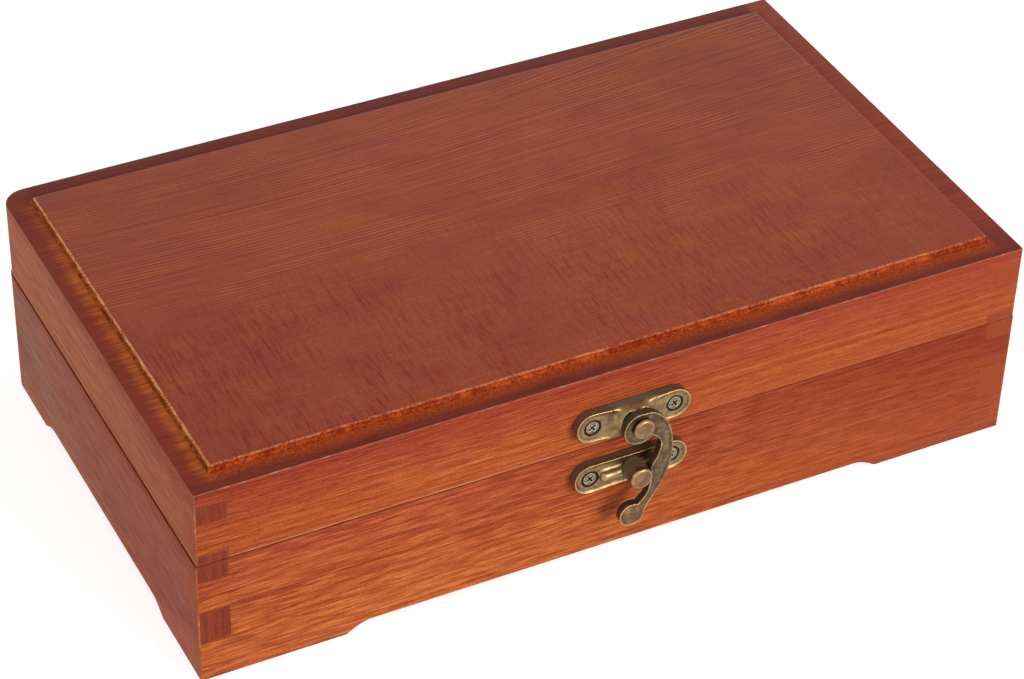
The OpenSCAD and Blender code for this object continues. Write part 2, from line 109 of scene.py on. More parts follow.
def seen_ray(tree):
    """1 for rays that show the background itself: camera, glossy and transmission."""
    path = add_node(tree, "ShaderNodeLightPath")
    seen = maths(tree, "MAXIMUM", path.outputs["Is Camera Ray"], path.outputs["Is Glossy Ray"])
    return maths(tree, "MAXIMUM", seen, path.outputs["Is Transmission Ray"])


world = bpy.data.worlds.new("studio")
bpy.context.scene.world = world
world.use_nodes = True
sky = world.node_tree
light_of_sky, white = 0.34, 1.0
sky_strength = add_node(
    sky, "ShaderNodeMapRange", {"Value": seen_ray(sky), "To Min": light_of_sky, "To Max": white}
)
sky.links.new(sky_strength.outputs[0], sky.nodes["Background"].inputs["Strength"])
sky.nodes["Background"].inputs["Color"].default_value = (1, 1, 1, 1)

under_feet, paper_grey, paper_glow = -0.0002, 0.8, 0.72
bpy.ops.mesh.primitive_plane_add(size=12, location=(0, 0, under_feet))
floor = bpy.context.object
floor.name = "floor"
paper = bpy.data.materials.new("white_paper")
paper.use_nodes = True
sheet = paper.node_tree
sheet.nodes.remove(sheet.nodes["Principled BSDF"])
diffuse = add_node(
    sheet, "ShaderNodeBsdfDiffuse", {"Color": (paper_grey, paper_grey, paper_grey, 1)}
)
glow_strength = maths(sheet, "MULTIPLY", seen_ray(sheet), paper_glow)
glow = add_node(sheet, "ShaderNodeEmission", {"Strength": glow_strength})
both = add_node(sheet, "ShaderNodeAddShader", {0: diffuse.outputs[0], 1: glow.outputs[0]})
sheet.links.new(both.outputs[0], sheet.nodes["Material Output"].inputs["Surface"])
floor.data.materials.append(paper)

# ------------------------------------------------------------------ base boards
# The four walls of the base: planed boards, finger-jointed and glued, sanded
# flush, stained red-brown and lacquered. The grain runs along each board, and
# the ends of the fingers show darker end grain.
half_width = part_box("base_front_board")[1].x
front_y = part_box("base_front_board")[0].y
back_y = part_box("base_back_board")[1].y
seam_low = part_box("base_front_board")[1].z
seam_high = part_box("lid_front_board")[0].z
foot_height = 0.003
above_foot = foot_height + 0.0005
near_side = 0.0004  # how near to the box's ends an edge counts as on them
within_wall = 0.0085  # a little less than a wall's thickness
on_plane = 2e-5  # how near to a plane a point counts as on it
smooth_angle = math.radians(35)


def open_mesh(piece):
    """Opens one piece alone in edit mode, with nothing selected."""
    bpy.ops.object.select_all(action="DESELECT")
    bpy.context.view_layer.objects.active = piece
    piece.select_set(True)
    bpy.ops.object.mode_set(mode="EDIT")
    bpy.ops.mesh.select_mode(type="EDGE")
    bpy.ops.mesh.select_all(action="DESELECT")


def close_mesh():
    """Goes back to object mode, which keeps what is selected."""
    bpy.ops.object.mode_set(mode="OBJECT")


def clear_selection(piece):
    """Leaves one piece active and none of its faces, edges and points selected."""
    open_mesh(piece)
    close_mesh()


def worked_copy(node, name):
    """A copy of a CAD piece with whole faces, ready to be shaped; it replaces the piece."""
    piece = bpy.data.objects.new(name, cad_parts[node].data.copy())
    bpy.context.scene.collection.objects.link(piece)
    open_mesh(piece)
    bpy.ops.mesh.select_all(action="SELECT")
    bpy.ops.mesh.remove_doubles(threshold=1e-6)
    bpy.ops.mesh.dissolve_limited(angle_limit=math.radians(1))
    bpy.ops.mesh.customdata_custom_splitnormals_clear()
    close_mesh()
    piece.data.materials.clear()
    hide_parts(node)
    return piece


def bevel_edges(piece, chosen, width, segments, slot=-1):
    """Rounds the sharp edges that chosen(start, end) picks; slot is the new faces' material."""
    open_mesh(piece)
    bpy.ops.mesh.edges_select_sharp(sharpness=math.radians(30))
    close_mesh()
    points = piece.data.vertices
    for edge in piece.data.edges:
        start, end = (points[i].co for i in edge.vertices)
        edge.select = edge.select and chosen(start, end)
    for element in (*points, *piece.data.polygons):
        element.select = False
    bpy.ops.object.mode_set(mode="EDIT")
    bpy.ops.mesh.bevel(
        offset=width,
        offset_type="OFFSET",
        segments=segments,
        affect="EDGES",
        clamp_overlap=True,
        material=slot,
    )
    close_mesh()


def outer_sides(place):
    """How many of the box's outer sides a place lies on: two along a corner."""
    on_end = abs(abs(place.x) - half_width) < near_side
    on_front = abs(place.y - front_y) < on_plane
    on_back = abs(place.y - back_y) < on_plane
    return on_end + (on_front or on_back)


def outer_arris(start, end):
    """Whether an edge stands upright where two of the box's outer sides meet."""
    upright = abs(start.x - end.x) < on_plane and abs(start.y - end.y) < on_plane
    return upright and outer_sides((start + end) / 2) == 2


def rim(start, end):
    """Whether an edge lies along the feet or the seam, on an outer side."""
    if abs(start.z - end.z) > above_foot and max(start.z, end.z) > above_foot + 0.0005:
        return False
    middle = (start + end) / 2
    at_seam = seam_low - on_plane < middle.z < seam_high + on_plane
    return outer_sides(middle) > 0 and (middle.z < above_foot or at_seam)


def inside(start, end):
    """Whether an edge lies on the walls' inner faces; outside, the joints are sanded flush."""
    middle = (start + end) / 2
    off_ends = abs(middle.x) < half_width - within_wall
    return off_ends and front_y + within_wall < middle.y < back_y - within_wall


def noise(tree, where, stretch, detail, roughness):
    """A noise stretched per axis, in cycles per metre."""
    placed = add_node(tree, "ShaderNodeMapping", {"Vector": where, "Scale": stretch})
    return add_node(
        tree,
        "ShaderNodeTexNoise",
        {"Vector": placed.outputs[0], "Scale": 1.0, "Detail": detail, "Roughness": roughness},
    ).outputs[0]


def levels(tree, value, low, high, to_low=0.0, to_high=1.0, curve="LINEAR"):
    """A value from low to high, spread from to_low to to_high and held beyond them."""
    return add_node(
        tree,
        "ShaderNodeMapRange",
        {"Value": value, "From Min": low, "From Max": high, "To Min": to_low, "To Max": to_high},
        interpolation_type=curve,
    ).outputs[0]


def mix(tree, share, first, second, blend="MIX"):
    """One colour over another; the node has a pair of inputs for each kind of data."""
    node = add_node(tree, "ShaderNodeMix", {"Factor": share}, data_type="RGBA", blend_type=blend)
    for socket, value in ((node.inputs[6], first), (node.inputs[7], second)):
        if isinstance(value, bpy.types.NodeSocket):
            tree.links.new(value, socket)
        else:
            socket.default_value = (*value, 1)
    return node.outputs[2]


def add_up(tree, base, *parts):
    """base plus each (value, weight), where the values average a half."""
    total = base
    for value, weight in parts:
        total = maths(tree, "MULTIPLY_ADD", maths(tree, "SUBTRACT", value, 0.5), weight, total)
    return total


def axes(tree, where):
    """X, Y and Z of a place, in metres."""
    return add_node(tree, "ShaderNodeSeparateXYZ", {"Vector": where}).outputs


def product(tree, first, *others):
    """Any number of values multiplied together."""
    for other in others:
        first = maths(tree, "MULTIPLY", first, other)
    return first


def lacquered(name, ior=1.18):
    """A new material under a thin satin lacquer: its tree, shader and coordinates."""
    material = bpy.data.materials.new(name)
    material.use_nodes = True
    tree = material.node_tree
    shader = tree.nodes["Principled BSDF"]
    shader.inputs["IOR"].default_value = ior
    where = add_node(tree, "ShaderNodeTexCoord").outputs["Object"]
    return material, tree, shader, where


def along_grain(axis, along, across):
    """Stretch of a pattern whose grain runs along X or Y."""
    return (along, across, across) if axis == "X" else (across, along, across)


def sway(tree, where, stretch, reach):
    """The coordinates, pushed about by up to half of reach by a slow noise."""
    placed = add_node(tree, "ShaderNodeMapping", {"Vector": where, "Scale": stretch})
    slow = add_node(
        tree, "ShaderNodeTexNoise", {"Vector": placed.outputs[0], "Scale": 1.0, "Detail": 1.0}
    )
    centred = add_node(
        tree,
        "ShaderNodeVectorMath",
        {0: slow.outputs["Color"], 1: (0.5, 0.5, 0.5)},
        operation="SUBTRACT",
    )
    return add_node(
        tree,
        "ShaderNodeVectorMath",
        {0: centred.outputs[0], 1: (reach, reach, reach), 2: where},
        operation="MULTIPLY_ADD",
    ).outputs[0]


def ramp(tree, value, *stops):
    """Colours along a value; each stop is (position, colour)."""
    node = add_node(tree, "ShaderNodeValToRGB", {"Fac": value})
    while len(node.color_ramp.elements) < len(stops):
        node.color_ramp.elements.new(1.0)
    for element, (position, colour) in zip(node.color_ramp.elements, stops):
        element.position = position
        element.color = (*colour, 1)
    return node.outputs[0]


def bumped(tree, shader, height, distance):
    """Relief in the finish, with a height of 1 standing distance metres proud."""
    bump = add_node(tree, "ShaderNodeBump", {"Height": height, "Distance": distance})
    tree.links.new(bump.outputs[0], shader.inputs["Normal"])


def growth_lines(tree, depth, breaks, pitch):
    """Fine lines at each level of depth, about a pitch apart, stronger and weaker by breaks."""
    lines = add_node(
        tree,
        "ShaderNodeTexNoise",
        {"W": depth, "Scale": 1 / pitch, "Detail": 3.0, "Roughness": 0.62},
        noise_dimensions="1D",
    ).outputs[0]
    strength = levels(tree, breaks, 0.38, 0.62, 0.2, 1.6)
    return add_up(tree, 0.5, (lines, strength))


def veins(tree, where, stretch, width):
    """Thin lines that wander along the level where a stretched noise is a half."""
    level = noise(tree, where, stretch, 1.0, 0.5)
    off = maths(tree, "ABSOLUTE", maths(tree, "SUBTRACT", level, 0.5))
    return levels(tree, off, width * 0.2, width, 1.0, 0.0)


def stained_wood(
    name, axis, dark, middle, pale, red, red_from, red_to, far_end=0.0, sawn_edge=False
):
    """Straight-grained wood, redder from one height to another and darker to the right."""
    material, tree, shader, where = lacquered(name, 1.18 if axis == "X" else 1.21)
    x, y, z = axes(tree, where)
    place = sway(tree, where, along_grain(axis, 7, 20), 0.0018)
    tilt = (0.0, 0.35, 1.0) if axis == "X" else (0.35, 0.0, 1.0)
    depth = add_node(
        tree, "ShaderNodeVectorMath", {0: place, 1: tilt}, operation="DOT_PRODUCT"
    ).outputs["Value"]
    breaks = noise(tree, place, along_grain(axis, 25, 260), 2.0, 0.6)
    rings = growth_lines(tree, depth, breaks, pitch=0.0017)
    fibres = noise(tree, place, along_grain(axis, 130, 1900), 2.0, 0.6)
    ripples = noise(tree, place, along_grain(axis, 110, 950), 1.0, 0.5)
    grit = noise(tree, where, (2600, 2600, 2600), 1.0, 0.5)
    bands = noise(tree, place, along_grain(axis, 4, 50), 2.0, 0.5)
    tone = add_up(tree, 0.5, (rings, 0.6), (fibres, 0.45), (grit, 0.5), (bands, 0.5))
    figured = levels(tree, x, 0.1, 0.0, 0.35, 1.0)
    rippled = product(tree, levels(tree, ripples, 0.35, 0.65, -0.5, 0.5), figured)
    ripple_weight = 0.42 if axis == "X" and not sawn_edge else 0.2
    tone = maths(tree, "MULTIPLY_ADD", rippled, ripple_weight, tone)
    colour = ramp(tree, tone, (0.15, dark), (0.5, middle), (0.85, pale))
    # Each pale vein has a dark one close under it.
    lifted = add_node(
        tree, "ShaderNodeVectorMath", {0: place, 1: (0.0, 0.0, 0.0003)}, operation="ADD"
    ).outputs[0]
    for level, tint in ((place, (1.28, 1.48, 1.7)), (lifted, (0.73, 0.6, 0.6))):
        vein = product(tree, veins(tree, level, along_grain(axis, 26, 520), 0.035), figured)
        colour = mix(tree, vein, colour, tint, "MULTIPLY")
    if axis == "Y":
        # The side boards are painted greyer to the back, a painted sheen that is strongest in the
        # base; they are also warm along the feet.
        sheen_along_side = mix(tree, levels(tree, y, -0.06, 0.06), (0.94, 0.9, 0.94), (1.02, 1.15, 1.28))
        colour = mix(tree, 1.0, colour, sheen_along_side, "MULTIPLY")
        base_sheen_to_back = mix(tree, levels(tree, y, 0.0, 0.055), (1.0, 0.9, 0.87), (0.97, 1.2, 1.5))
        in_base = levels(tree, z, seam_high, seam_low)
        colour = mix(tree, in_base, colour, base_sheen_to_back, "MULTIPLY")
        low = levels(tree, z, 0.0075, 0.0035)
        colour = mix(tree, low, colour, (1.25, 0.95, 0.75), "MULTIPLY")
    redder = levels(tree, z, red_from, red_to, 0.0, 0.75)
    colour = mix(tree, redder, colour, red, "MULTIPLY")
    far = product(tree, levels(tree, x, -0.06, 0.11), far_end)
    colour = mix(tree, far, colour, (0.35, 0.0, 0.05), "MULTIPLY")
    pores = noise(tree, where, along_grain(axis, 260, 2300), 1.0, 0.5)
    dashes = levels(tree, pores, 0.65, 0.74, 0.0, 0.5)
    colour = mix(tree, dashes, colour, (0.5, 0.33, 0.33), "MULTIPLY")
    if sawn_edge:
        line = levels(tree, z, seam_high + 0.0008, seam_high + 0.0005)
        near = levels(tree, x, 0.02, -0.06, 0.05, 0.6)
        sawn = product(tree, line, near, levels(tree, fibres, 0.4, 0.6, 0.3, 1.0))
        colour = mix(tree, sawn, colour, (0.75, 0.33, 0.13))
    tree.links.new(colour, shader.inputs["Base Color"])
    dull, shiny, relief = (0.5, 0.38, 0.0002) if axis == "X" else (0.58, 0.5, 0.0001)
    tree.links.new(levels(tree, fibres, 0.3, 0.7, dull, shiny), shader.inputs["Roughness"])
    bumped(tree, shader, add_up(tree, 0.5, (rings, 1.0), (fibres, 0.5)), relief)
    return material


def end_grain(name, dark, pale, plain):
    """Wood cut across its grain: upright rings, dark with soaked-up stain at the left."""
    material, tree, shader, where = lacquered(name)
    x, _, z = axes(tree, where)
    rings = noise(tree, where, (1000, 1000, 50), 2.0, 0.6)
    specks = noise(tree, where, (2600, 2600, 1500), 2.0, 0.6)
    tone = add_up(tree, 0.5, (rings, 1.0), (specks, 0.8))
    colour = ramp(tree, tone, (0.15, dark), (0.85, pale))
    # At the right the fingers hardly show, least of all the lowest and the highest.
    low = levels(tree, z, 0.0235, 0.0240, 1.0, 0.6)
    high = levels(tree, z, 0.0460, 0.0500, 0.0, 0.4)
    either = add_node(tree, "ShaderNodeMath", {0: low, 1: high}, operation="ADD", use_clamp=True)
    faint = product(tree, either.outputs[0], levels(tree, x, 0.0, 0.1), 0.85)
    tree.links.new(mix(tree, faint, colour, plain), shader.inputs["Base Color"])
    shader.inputs["Roughness"].default_value = 0.5
    bumped(tree, shader, tone, 0.00006)
    return material


base_x = stained_wood(
    "base_wall_grain_x",
    "X",
    dark=(0.33, 0.055, 0.0145),
    middle=(0.53, 0.12, 0.027),
    pale=(0.73, 0.205, 0.05),
    red=(0.72, 0.5, 0.85),
    red_from=0.012,
    red_to=0.0398,
    far_end=0.52,
)
base_y = stained_wood(
    "base_wall_grain_y",
    "Y",
    dark=(0.26, 0.04, 0.013),
    middle=(0.42, 0.087, 0.025),
    pale=(0.58, 0.15, 0.046),
    red=(0.9, 0.8, 1.1),
    red_from=0.0,
    red_to=0.0398,
)
side_ends = end_grain(
    "side_wall_end_grain",
    dark=(0.18, 0.031, 0.014),
    pale=(0.37, 0.07, 0.031),
    plain=(0.39, 0.07, 0.019),
)
front_ends = end_grain(
    "front_wall_end_grain",
    dark=(0.34, 0.06, 0.014),
    pale=(0.54, 0.105, 0.022),
    plain=(0.46, 0.09, 0.02),
)


def worn_arris_painted_light(name, dull, rubbed, bare):
    """A sharp edge rubbed through the lacquer in front, here and there to bare wood; its given
    colours also carry painted light, a painted highlight on the arrises and a painted shade on the
    rims.
    """
    material, tree, shader, where = lacquered(name)
    y = axes(tree, where)["Y"]
    patches = noise(tree, where, (260, 260, 260), 3.0, 0.7)
    dimmer_off_front = levels(tree, y, front_y + 0.0006, front_y + 0.003, 0.0, 0.22)
    patches = maths(tree, "SUBTRACT", patches, dimmer_off_front)
    colour = ramp(tree, patches, (0.35, dull), (0.58, rubbed), (0.72, bare))
    tree.links.new(colour, shader.inputs["Base Color"])
    shader.inputs["Roughness"].default_value = 0.4
    bumped(tree, shader, patches, 0.0001)
    return material


# The arrises are pale in front, partly from wear and partly as a painted highlight.
arris_wood = worn_arris_painted_light("worn_arris_painted_light", (0.44, 0.09, 0.03), (0.56, 0.16, 0.07), (0.8, 0.4, 0.2))
# Painted shade: the rims along the seam and the feet are darkened so that their lit bevels stay
# dim.
rim_painted_shade_wood = worn_arris_painted_light("rim_painted_shade", (0.22, 0.035, 0.012), (0.32, 0.06, 0.017), (0.45, 0.1, 0.03))
foot_ends = {"X": 0.083, "Y": 0.04475}  # how far the arch reaches from the middle of a board
plain_slope, drawn_slope = 0.006, 0.0074
closer_at_left, more_at_right = 0.00012, 0.00013
arris_width, rim_width, inner_width = 0.0004, 0.00018, 0.00012
long_slot, end_slot, arris_slot, rim_slot = range(4)


def slope_foot(point, axis):
    """Ends a foot in a slope that leaves the floor sharply and runs out in the arch."""
    way, middle = (0, 0.0) if axis == "X" else (1, (front_y + back_y) / 2)
    from_middle = point.co[way] - middle
    share = (foot_ends[axis] - abs(from_middle)) / plain_slope
    if 0 <= share <= 1 and point.co.z < foot_height + on_plane:
        reach = foot_ends[axis] - drawn_slope * share
        point.co[way] = middle + math.copysign(reach, from_middle)
        point.co.z = foot_height * math.sin(math.pi / 2 * share)


def wall(node, name, body, axis, long_grain, ends):
    """One finger-jointed board: materials by the way its faces look, then eased edges."""
    piece = worked_copy(node, name)
    for material in (long_grain, ends, arris_wood, rim_painted_shade_wood):
        piece.data.materials.append(material)
    if body == "base":
        for point in piece.data.vertices:
            slope_foot(point, axis)
            # The lid sits closer than its play allows, above all at the right.
            if abs(point.co.z - seam_low) < on_plane:
                to_right = (point.co.x + half_width) / (2 * half_width)
                point.co.z += closer_at_left + more_at_right * to_right
    way = 0 if axis == "X" else 1
    for face in piece.data.polygons:
        face.material_index = end_slot if abs(face.normal[way]) > 0.7 else long_slot
        # Faces at the seam take the rim's painted shade.
        if abs(face.normal.z) > 0.9 and seam_low - on_plane < face.center.z < seam_high + on_plane:
            face.material_index = rim_slot
    bevel_edges(piece, outer_arris, arris_width, 3, arris_slot)
    bevel_edges(piece, rim, rim_width, 2, rim_slot)
    bevel_edges(piece, inside, inner_width, 1)
    bpy.ops.object.shade_smooth_by_angle(angle=smooth_angle)
    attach(piece, body)


for side in ("front", "back"):
    wall(f"base_{side}_board", f"base_{side}_wall", "base", "X", base_x, front_ends)
for side in ("left", "right"):
    wall(f"base_{side}_board", f"base_{side}_wall", "base", "Y", base_y, side_ends)

# ----------------------------------------------------------------- bottom panel
# A thin sheet of plywood, stained like the walls, held in a groove near their
# lower edges.
plain_tones = {
    "dark": (0.31, 0.049, 0.014),
    "middle": (0.5, 0.108, 0.026),
    "pale": (0.7, 0.19, 0.048),
}
sheet_wood = stained_wood(
    "bottom_panel_wood", "X", **plain_tones, red=(0.9, 0.8, 0.9), red_from=0.0, red_to=0.02
)
bottom = worked_copy("base_bottom_panel", "bottom_sheet")
bottom.data.materials.append(sheet_wood)
open_mesh(bottom)
bpy.ops.mesh.edges_select_sharp(sharpness=math.radians(45))
sheet_ease = 0.0001
bpy.ops.mesh.bevel(offset=sheet_ease, segments=1, affect="EDGES", clamp_overlap=True)
close_mesh()
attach(bottom, "base")

# ------------------------------------------------------------------- lid boards
# The lid's four walls are sawn off the same finger-jointed box, so their joints
# run on from the base's, and the saw has left a pale edge along the seam.
lid_x = stained_wood(
    "lid_wall_grain_x",
    "X",
    dark=(0.29, 0.044, 0.012),
    middle=(0.475, 0.096, 0.0225),
    pale=(0.66, 0.168, 0.041),
    red=(0.7, 0.42, 0.9),
    red_from=0.047,
    red_to=0.062,
    far_end=0.12,
    sawn_edge=True,
)
lid_y = stained_wood(
    "lid_wall_grain_y", "Y", **plain_tones, red=(0.85, 0.8, 1.1), red_from=0.047, red_to=0.060
)
for side in ("front", "back"):
    wall(f"lid_{side}_board", f"lid_{side}_wall", "lid", "X", lid_x, front_ends)
for side in ("left", "right"):
    wall(f"lid_{side}_board", f"lid_{side}_wall", "lid", "Y", lid_y, side_ends)

# -------------------------------------------------------------- lid's top board
# A solid board glued on the lid's walls, with a broad field raised by a small
# step. The cutter has torn the grain along the step.
border_top = 0.0640
field_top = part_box("lid_top_board")[1].z
field_left, field_right = -0.1173, 0.1173
field_front, field_back = -0.0620, 0.0667
lid_panel = worked_copy("lid_top_board", "lid_panel")


def field_wood(name):
    """The raised field: fine lines that arch near the back left, and cross flecks in front."""
    material, tree, shader, where = lacquered(name, 1.28)
    x, y, _ = axes(tree, where)
    place = sway(tree, where, (5, 24, 1), 0.0035)
    swayed_x, swayed_y, _ = axes(tree, place)
    bent = levels(tree, swayed_x, -0.255, 0.145, -0.034, 0.034, "SMOOTHSTEP")
    squeezed = add_node(tree, "ShaderNodeCombineXYZ", {"X": bent, "Y": swayed_y}).outputs[0]
    pith = (0.0, 0.094, 0.0)
    depth = add_node(
        tree, "ShaderNodeVectorMath", {0: squeezed, 1: pith}, operation="DISTANCE"
    ).outputs["Value"]
    breaks = noise(tree, place, (45, 200, 1), 2.0, 0.6)
    rings = growth_lines(tree, depth, breaks, pitch=0.0016)
    # The rings show at the back and the flecks in front, where the saw met them flat.
    to_back = add_up(tree, swayed_y, (noise(tree, where, (14, 30, 1), 2.0, 0.6), 0.05))
    lined = levels(tree, to_back, -0.022, 0.012)
    rings = mix(tree, lined, (0.5, 0.5, 0.5), rings)
    fibres = noise(tree, place, (70, 1300, 10), 2.0, 0.6)
    grit = noise(tree, where, (2400, 2400, 2400), 1.0, 0.5)
    broad = noise(tree, where, (16, 30, 1), 3.0, 0.6)
    tone = add_up(tree, 0.5, (rings, 0.62), (fibres, 0.36), (grit, 0.5), (broad, 0.5))
    # Where the board was cut nearly along a layer, the lines are even and close.
    wavy = add_up(tree, depth, (noise(tree, where, (150, 150, 1), 1.0, 0.5), 0.0011))
    even_pitch = 0.00125
    even = maths(tree, "SINE", product(tree, wavy, 2 * math.pi / even_pitch))
    close = levels(tree, noise(tree, where, (30, 70, 1), 2.0, 0.5), 0.42, 0.65, 0.02, 0.26)
    even = product(tree, even, close, levels(tree, lined, 0.0, 1.0, 0.25, 1.0))
    tone = maths(tree, "ADD", tone, even)
    colour = ramp(
        tree,
        tone,
        (0.15, (0.28, 0.04, 0.013)),
        (0.5, (0.41, 0.075, 0.026)),
        (0.85, (0.55, 0.118, 0.044)),
    )
    leaning = sway(tree, where, (25, 25, 1), 0.0014)
    cross = noise(tree, leaning, (1200, 110, 10), 2.0, 0.65)
    fine = noise(tree, leaning, (2300, 330, 10), 1.0, 0.6)
    patchy = noise(tree, where, (40, 40, 1), 2.0, 0.6)
    to_right = levels(tree, x, 0.03, 0.1, 1.0, 0.6)
    flecked = product(tree, levels(tree, lined, 1.0, 0.0, 0.12, 1.0), to_right)
    streaks = product(
        tree, levels(tree, cross, 0.5, 0.64), levels(tree, patchy, 0.35, 0.55), flecked
    )
    flecks = product(tree, levels(tree, fine, 0.45, 0.62, 0.0, 0.7), flecked)
    gaps = levels(tree, patchy, 0.58, 0.44, 0.0, 0.35)
    lines = product(tree, veins(tree, place, (30, 520, 1), 0.045), gaps)
    warm = noise(tree, where, (55, 90, 1), 2.0, 0.5)
    # Painted sheen: the field turns greyer and bluer toward the back.
    sheen_by_depth = mix(tree, levels(tree, y, -0.06, 0.06), (1.02, 0.98, 1.0), (0.98, 1.06, 1.16))
    off_middle = maths(tree, "ABSOLUTE", x)
    for share, tint in (
        (streaks, (0.76, 0.52, 0.55)),
        (flecks, (0.84, 0.74, 0.78)),
        (lines, (1.14, 1.24, 1.3)),
        (levels(tree, warm, 0.5, 0.66, 0.0, 0.8), (1.1, 1.17, 0.84)),
        (levels(tree, warm, 0.45, 0.3, 0.0, 0.8), (0.94, 0.81, 1.1)),
        (1.0, sheen_by_depth),
        (levels(tree, off_middle, 0.04, 0.10), (0.93, 0.92, 0.97)),
    ):
        colour = mix(tree, share, colour, tint, "MULTIPLY")
    tree.links.new(colour, shader.inputs["Base Color"])
    shader.inputs["Roughness"].default_value = 0.42
    bumped(tree, shader, tone, 0.00005)
    return material


def border_wood(name):
    """The lower border: dark, but rubbed to orange along the left step and the front one."""
    material, tree, shader, where = lacquered(name)
    x, y, _ = axes(tree, where)
    streaks = noise(tree, where, (60, 900, 10), 3.0, 0.6)
    broad = noise(tree, where, (30, 30, 1), 2.0, 0.6)
    tone = add_up(tree, 0.5, (streaks, 1.0), (broad, 0.6))
    dark = ramp(tree, tone, (0.2, (0.165, 0.024, 0.014)), (0.8, (0.275, 0.045, 0.025)))
    right = product(tree, levels(tree, x, 0.1165, 0.1180), levels(tree, y, -0.068, -0.045))
    dark = mix(tree, right, dark, (1.65, 1.85, 1.7), "MULTIPLY")
    rubbed = ramp(tree, tone, (0.25, (0.27, 0.045, 0.012)), (0.7, (0.66, 0.16, 0.032)))
    frayed = noise(tree, where, (60, 1500, 10), 2.0, 0.6)
    left = product(tree, levels(tree, x, -0.1165, -0.1169), levels(tree, y, -0.0665, -0.0625))
    glow = product(
        tree,
        levels(tree, add_up(tree, x, (frayed, 0.006)), -0.1215, field_left - 0.0004),
        levels(tree, y, 0.060, 0.02, 0.65, 1.0),
        levels(tree, y, field_back, 0.0640),
        left,
    )
    colour = mix(tree, glow, dark, rubbed)
    colour = mix(tree, left, colour, (1.3, 1.33, 1.22), "MULTIPLY")
    specks = noise(tree, where, (1300, 1300, 1300), 2.0, 0.6)
    speckled_y = add_up(tree, y, (specks, 0.0022), (broad, 0.003))
    by_front = product(
        tree,
        levels(tree, speckled_y, -0.0672, field_front - 0.0012),
        levels(tree, y, -0.0610, -0.0615),
        levels(tree, x, 0.1195, 0.1165),
        levels(tree, x, -0.1195, -0.1165),
    )
    red_glow = ramp(tree, specks, (0.3, (0.34, 0.04, 0.008)), (0.7, (0.62, 0.11, 0.02)))
    tree.links.new(mix(tree, by_front, colour, red_glow), shader.inputs["Base Color"])
    shader.inputs["Roughness"].default_value = 0.45
    bumped(tree, shader, tone, 0.00006)
    return material


def torn_wood(name, dark, bright, share):
    """Wood that the cutter has torn: a rough speckle of bare fibres and soaked-up stain."""
    material, tree, shader, where = lacquered(name)
    specks = noise(tree, where, (1300, 1300, 1300), 3.0, 0.7)
    runs = noise(tree, where, (170, 170, 60), 2.0, 0.6)
    tone = add_up(tree, share, (specks, 2.2), (runs, 1.4))
    tree.links.new(ramp(tree, tone, (0.2, dark), (0.8, bright)), shader.inputs["Base Color"])
    shader.inputs["Roughness"].default_value = 0.6
    bumped(tree, shader, specks, 0.0002)
    return material


panel_woods = {
    "border": border_wood("lid_border_wood"),
    "field": field_wood("lid_field_wood"),
    "front step": torn_wood("front_step_wood", (0.24, 0.022, 0.004), (0.58, 0.1, 0.02), 0.46),
    "left step": torn_wood("left_step_wood", (0.19, 0.037, 0.009), (0.58, 0.155, 0.033), 0.42),
    # The left lip here and the front lip below are torn fibre, bright partly as a painted highlight
    # where the rim catches light.
    "left lip": torn_wood("torn_edge_painted_highlight", (0.5, 0.11, 0.03), (1.0, 0.43, 0.18), 0.6),
    "front edge": lid_x,
    # The border's outer edge and the field's rim at the right and back are pale, partly from wear
    # and partly as a painted highlight.
    "arris": worn_arris_painted_light("panel_arris", (0.34, 0.09, 0.06), (0.44, 0.15, 0.1), (0.7, 0.36, 0.27)),
    "side edge": lid_y,
    "front lip": torn_wood("front_lip", (0.38, 0.06, 0.02), (0.78, 0.26, 0.12), 0.55),
}
slot_of = {place: number for number, place in enumerate(panel_woods)}
for material in panel_woods.values():
    lid_panel.data.materials.append(material)

# The field's rim is cut into a narrow lip and a band, so that only they are uneven.
lip, band = 0.0006, 0.0012
clear_selection(lid_panel)
for face in lid_panel.data.polygons:
    face.select = face.normal.z > 0.9 and face.center.z > field_top - on_plane
bpy.ops.object.mode_set(mode="EDIT")
bpy.ops.mesh.select_mode(type="FACE")
bpy.ops.mesh.inset(thickness=lip)
bpy.ops.mesh.inset(thickness=band)
close_mesh()


def place_on_panel(x, y, z, normal):
    """Which of the panel's woods a face shows, by where it lies."""
    if z > field_top - on_plane:
        if min(x - field_left, field_right - x, y - field_front, field_back - y) > lip - 1e-5:
            return "field"
        if x < field_left + lip:
            return "left lip"
        return "front lip" if y < field_front + lip else "arris"
    if z > border_top + on_plane:
        if y < field_front:
            return "front step"
        return "left step" if x < field_left else "border"
    if abs(normal.z) < 0.5:
        return "side edge" if abs(normal.x) > 0.7 else "front edge"
    return "border"


for face in lid_panel.data.polygons:
    face.material_index = slot_of[place_on_panel(*face.center, face.normal)]


def along_step(start, end):
    """Whether an edge runs along the left or front step, from the cove to the rim's band."""
    middle, run = (start + end) / 2, (start - end).length
    if middle.z < border_top + on_plane:
        return False
    reach = lip + band + 0.0002
    by_left = middle.x < field_left + reach and abs(start.x - end.x) < on_plane and run > 0.1
    by_front = middle.y < field_front + reach and abs(start.y - end.y) < on_plane and run > 0.2
    return by_left or by_front


clear_selection(lid_panel)
points = lid_panel.data.vertices
for edge in lid_panel.data.edges:
    edge.select = along_step(*(points[i].co for i in edge.vertices))
bpy.ops.object.mode_set(mode="EDIT")
bpy.ops.mesh.subdivide(number_cuts=190)
close_mesh()
near_edge, near_top, rim_drop = 0.0002, 0.0004, 0.00025


